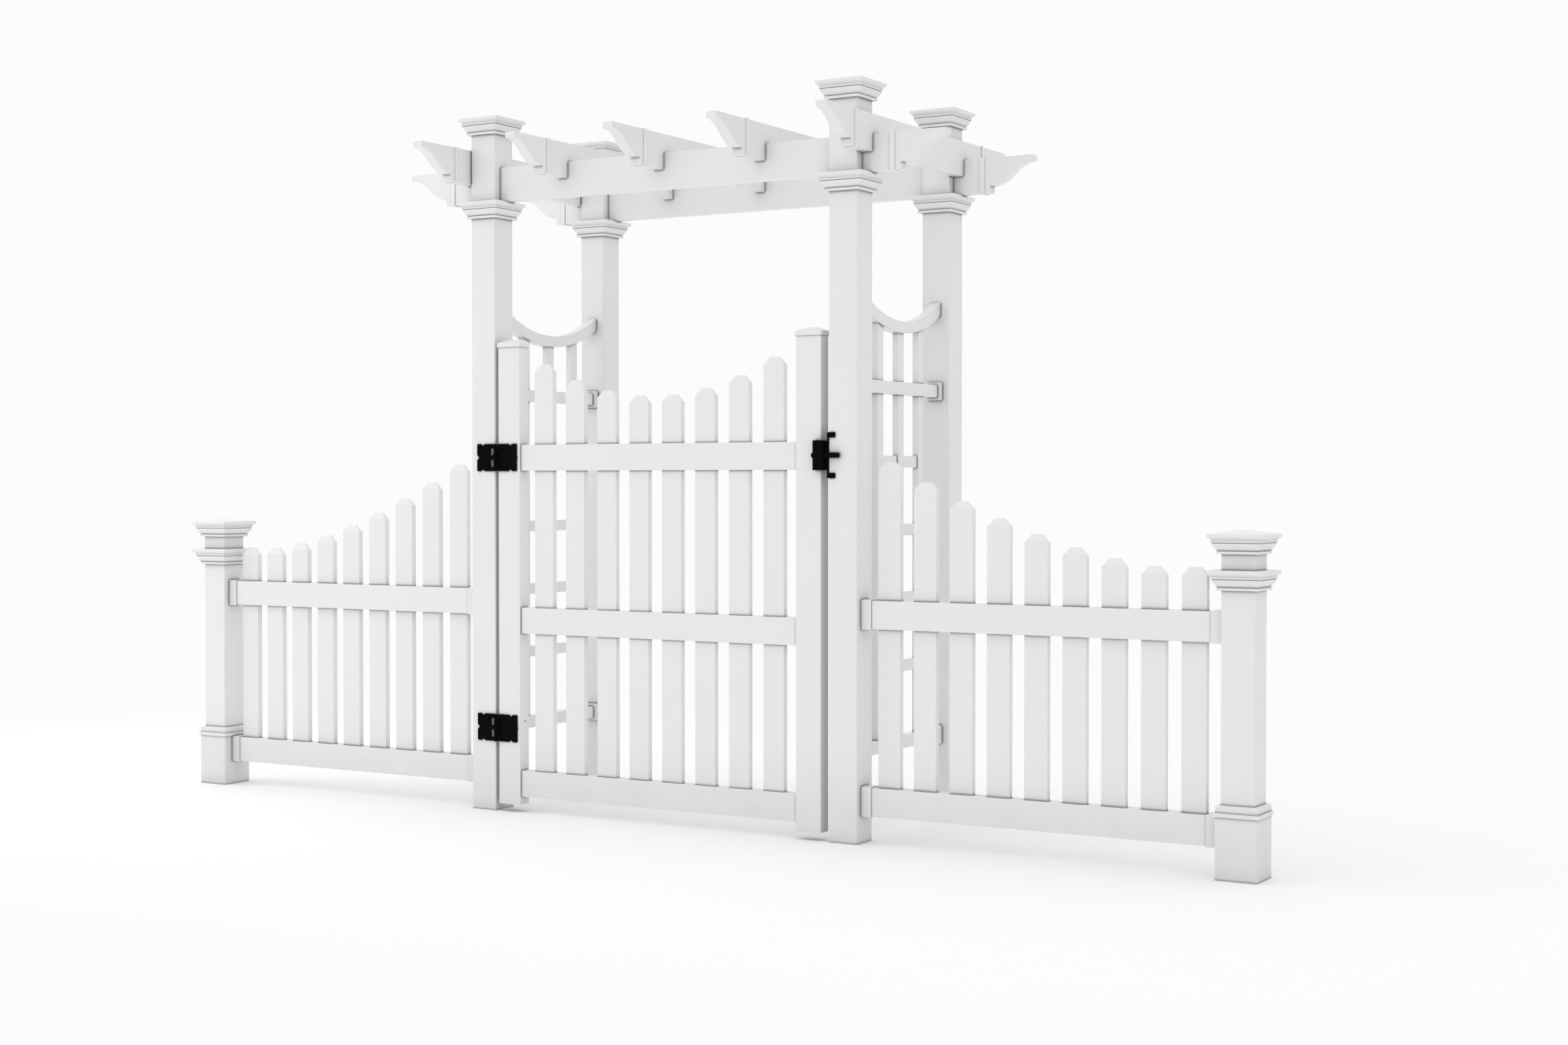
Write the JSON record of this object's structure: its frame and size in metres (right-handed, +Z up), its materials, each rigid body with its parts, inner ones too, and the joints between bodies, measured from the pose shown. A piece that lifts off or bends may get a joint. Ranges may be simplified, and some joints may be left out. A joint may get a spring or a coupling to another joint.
{
  "type": "garden gate",
  "caption": "White vinyl picket garden gate hung in a four-post arbor with scroll-ended rafters, slatted sides and a stepped picket wing on each side.",
  "frame": {"origin": "on the ground under the middle of the whole object: midway between the arbor posts in X, and midway between the front and rear post rows in Y", "axes": "+X runs along the fence from the hinge side of the gate to the latch side, +Y goes through the arbor away from the front, +Z is up"},
  "size_m": [4.1412, 1.2688, 2.3973],
  "materials": {
    "white_vinyl": "satin extruded vinyl, white",
    "black_polymer": "black moulded polymer, slightly grained",
    "black_steel": "black powder coated steel",
    "aluminium_insert": "mill finish, hidden inside the stiles",
    "spring_steel": "spring steel, hidden inside the hinge barrels"
  },
  "bodies": {
    "arbor": {"arbor_post_front_left": "white_vinyl", "arbor_post_cap_front_left": "white_vinyl", "arbor_post_collar_front_left": "white_vinyl", "arbor_post_front_right": "white_vinyl", "arbor_post_cap_front_right": "white_vinyl", "arbor_post_collar_front_right": "white_vinyl", "arbor_post_rear_left": "white_vinyl", "arbor_post_cap_rear_left": "white_vinyl", "arbor_post_collar_rear_left": "white_vinyl", "arbor_post_rear_right": "white_vinyl", "arbor_post_cap_rear_right": "white_vinyl", "arbor_post_collar_rear_right": "white_vinyl", "end_post_left": "white_vinyl", "end_post_cap_left": "white_vinyl", "end_post_collar_left": "white_vinyl", "side_arch_left": "white_vinyl", "side_rails_left": "white_vinyl", "wing_rails_left": "white_vinyl", "wing_pickets_left": "white_vinyl", "end_post_right": "white_vinyl", "end_post_cap_right": "white_vinyl", "end_post_collar_right": "white_vinyl", "side_arch_right": "white_vinyl", "side_rails_right": "white_vinyl", "wing_rails_right": "white_vinyl", "wing_pickets_right": "white_vinyl", "base_sleeves": "white_vinyl", "beam_front": "white_vinyl", "beam_rear": "white_vinyl", "rafter_1": "white_vinyl", "rafter_2": "white_vinyl", "rafter_3": "white_vinyl", "rafter_4": "white_vinyl", "rafter_5": "white_vinyl", "scroll_end_caps": "white_vinyl", "side_slats": "white_vinyl", "side_crossbars": "white_vinyl", "side_rail_brackets": "white_vinyl", "wing_picket_caps": "white_vinyl", "wing_rail_brackets": "white_vinyl", "hinge_post_leaves": "black_polymer", "hinge_pins": "black_steel", "hinge_tensioners": "black_polymer", "latch_keeper": "black_steel", "post_screws": "black_steel"},
    "gate": {"gate_stile_hinge": "white_vinyl", "gate_stile_latch": "white_vinyl", "gate_stile_caps": "white_vinyl", "gate_stile_stiffeners": "aluminium_insert", "gate_rail_top": "white_vinyl", "gate_rail_middle": "white_vinyl", "gate_rail_bottom": "white_vinyl", "gate_pickets": "white_vinyl", "gate_picket_caps": "white_vinyl", "hinge_gate_leaves": "black_polymer", "hinge_springs": "spring_steel", "latch_case": "black_polymer", "gate_screws": "black_steel"},
    "bolt": {"latch_bolt": "black_steel", "latch_knob": "black_polymer"}
  },
  "joints": [
    {"name": "gate_swing", "type": "hinge", "parent": "arbor", "child": "gate", "pos_m": [-0.65, -0.3807, 0], "axis": [0, 0, -1], "range_deg": [0, 110], "stiffness_Nm_per_rad": 3, "springref_deg": -20.05},
    {"name": "bolt_slide", "type": "slide", "parent": "gate", "child": "bolt", "axis": [-1, 0, 0], "range_m": [0, 0.046]}
  ]
}
